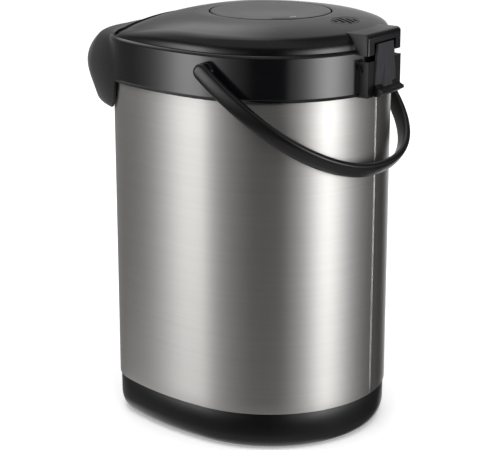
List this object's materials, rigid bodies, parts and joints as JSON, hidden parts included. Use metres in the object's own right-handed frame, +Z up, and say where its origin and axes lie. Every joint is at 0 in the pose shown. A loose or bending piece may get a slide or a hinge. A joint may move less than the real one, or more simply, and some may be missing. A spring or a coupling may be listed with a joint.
{
  "type": "electric thermo pot",
  "caption": "Free-standing electric air pot with a brushed steel wrap, spout hood, domed lid with a pump plate, rear lid hinge and a bail handle.",
  "frame": {"origin": "centre of the flat bottom face under the middle of the round water vessel", "axes": "+Z up, -Y towards the spout, +X towards one handle pivot"},
  "size_m": [0.2404, 0.3087, 0.3736],
  "materials": {
    "brushed_wrap": "vertically brushed stainless steel",
    "charcoal_plastic": "semi-gloss charcoal plastic",
    "lid_plastic": "satin grey plastic on the lid's top",
    "black_plastic": "satin black plastic",
    "handle_plastic": "smooth black plastic with a soft gloss",
    "slate_plastic": "slate grey plastic",
    "lock_grey": "mid-grey plastic",
    "black_rubber": "matte black rubber",
    "plain_steel": "plain steel",
    "inner_steel": "polished inner steel",
    "pale_silicone": "translucent pale silicone and fittings",
    "felt_wrap": "felt heat wrap",
    "cast_heater": "cast heater disc",
    "band_brass": "brass contacts and heater band",
    "clear_glass": "clear tube and window",
    "amber_lens": "amber lamp lens",
    "board_green": "circuit board"
  },
  "bodies": {
    "pot": {"steel_shell": "brushed_wrap", "collar": "charcoal_plastic", "spout_hood": "charcoal_plastic", "hood_floor": "black_plastic", "base_ring": "black_plastic", "base_plate": "black_plastic", "feet": "black_rubber", "base_screws": "plain_steel", "vessel": "inner_steel", "vessel_seal": "pale_silicone", "insulation": "felt_wrap", "support_skirt": "plain_steel", "heater_plate": "cast_heater", "band_heater": "band_brass", "thermostat": "black_plastic", "thermal_fuse": "pale_silicone", "heat_shield": "plain_steel", "outlet_fitting": "pale_silicone", "gauge_tube": "clear_glass", "spout_elbow": "pale_silicone", "spout_nozzle": "black_plastic", "front_panel": "black_plastic", "gauge_window": "clear_glass", "control_bezel": "charcoal_plastic", "lamp_lenses": "amber_lens", "control_board": "board_green", "harness": "pale_silicone", "power_inlet": "black_plastic", "inlet_contacts": "band_brass", "hinge_bracket": "black_plastic", "hinge_pin": "plain_steel", "bracket_screws": "plain_steel", "handle_pivots": "black_plastic"},
    "handle": {"handle": "handle_plastic"},
    "lid": {"lid_cover": "lid_plastic", "lid_base": "black_plastic", "lid_inner": "inner_steel", "lid_gasket": "pale_silicone", "lid_screws": "plain_steel", "hinge_arms": "black_plastic", "arm_screws": "plain_steel", "vent_grille": "black_plastic", "steam_duct": "pale_silicone", "lever_pin_rod": "plain_steel", "pump_bellows": "pale_silicone", "pump_spring": "plain_steel"},
    "detach_lever": {"detach_lever": "slate_plastic"},
    "lid_lever": {"lid_lever": "charcoal_plastic"},
    "latch": {"latch_bolt": "plain_steel"},
    "pump": {"pump_plate": "lid_plastic", "pump_stem": "pale_silicone"},
    "pump_lock": {"lock_ring": "lock_grey"},
    "reboil_button": {"reboil_button": "slate_plastic"}
  },
  "joints": [
    {"name": "handle_swing", "type": "hinge", "parent": "pot", "child": "handle", "pos_m": [0, 0.008, 0.3365], "axis": [1, 0, 0], "range_deg": [0, 130]},
    {"name": "lid_hinge", "type": "hinge", "parent": "pot", "child": "lid", "pos_m": [0, 0.1093, 0.3355], "axis": [-1, 0, 0], "range_deg": [0, 85]},
    {"name": "detach_press", "type": "hinge", "parent": "pot", "child": "detach_lever", "pos_m": [0, 0.1093, 0.3355], "axis": [1, 0, 0], "range_deg": [0, 12], "stiffness_Nm_per_rad": 0.6, "springref_deg": -11.46},
    {"name": "lid_lever_lift", "type": "hinge", "parent": "lid", "child": "lid_lever", "pos_m": [0, -0.1, 0.3595], "axis": [1, 0, 0], "range_deg": [0, 25], "stiffness_Nm_per_rad": 0.4, "springref_deg": -11.46},
    {"name": "latch_slide", "type": "slide", "parent": "lid", "child": "latch", "axis": [0, 1, 0], "range_m": [0, 0.006]},
    {"name": "pump_press", "type": "slide", "parent": "lid", "child": "pump", "axis": [0, 0, -1], "range_m": [0, 0.0115], "stiffness_N_per_m": 600, "springref_m": -0.006, "deforming": ["pump_bellows", "pump_spring"]},
    {"name": "lock_turn", "type": "hinge", "parent": "pump", "child": "pump_lock", "pos_m": [0, 0, 0.3677], "axis": [0, 0, -1], "range_deg": [0, 18]},
    {"name": "reboil_press", "type": "slide", "parent": "pot", "child": "reboil_button", "axis": [0, 1, 0], "range_m": [0, 0.0015], "stiffness_N_per_m": 800, "springref_m": -0.001}
  ],
  "couplings": [
    {"joint": "latch_slide", "follows": "lid_lever_lift", "m_per_rad": 0.0115}
  ]
}
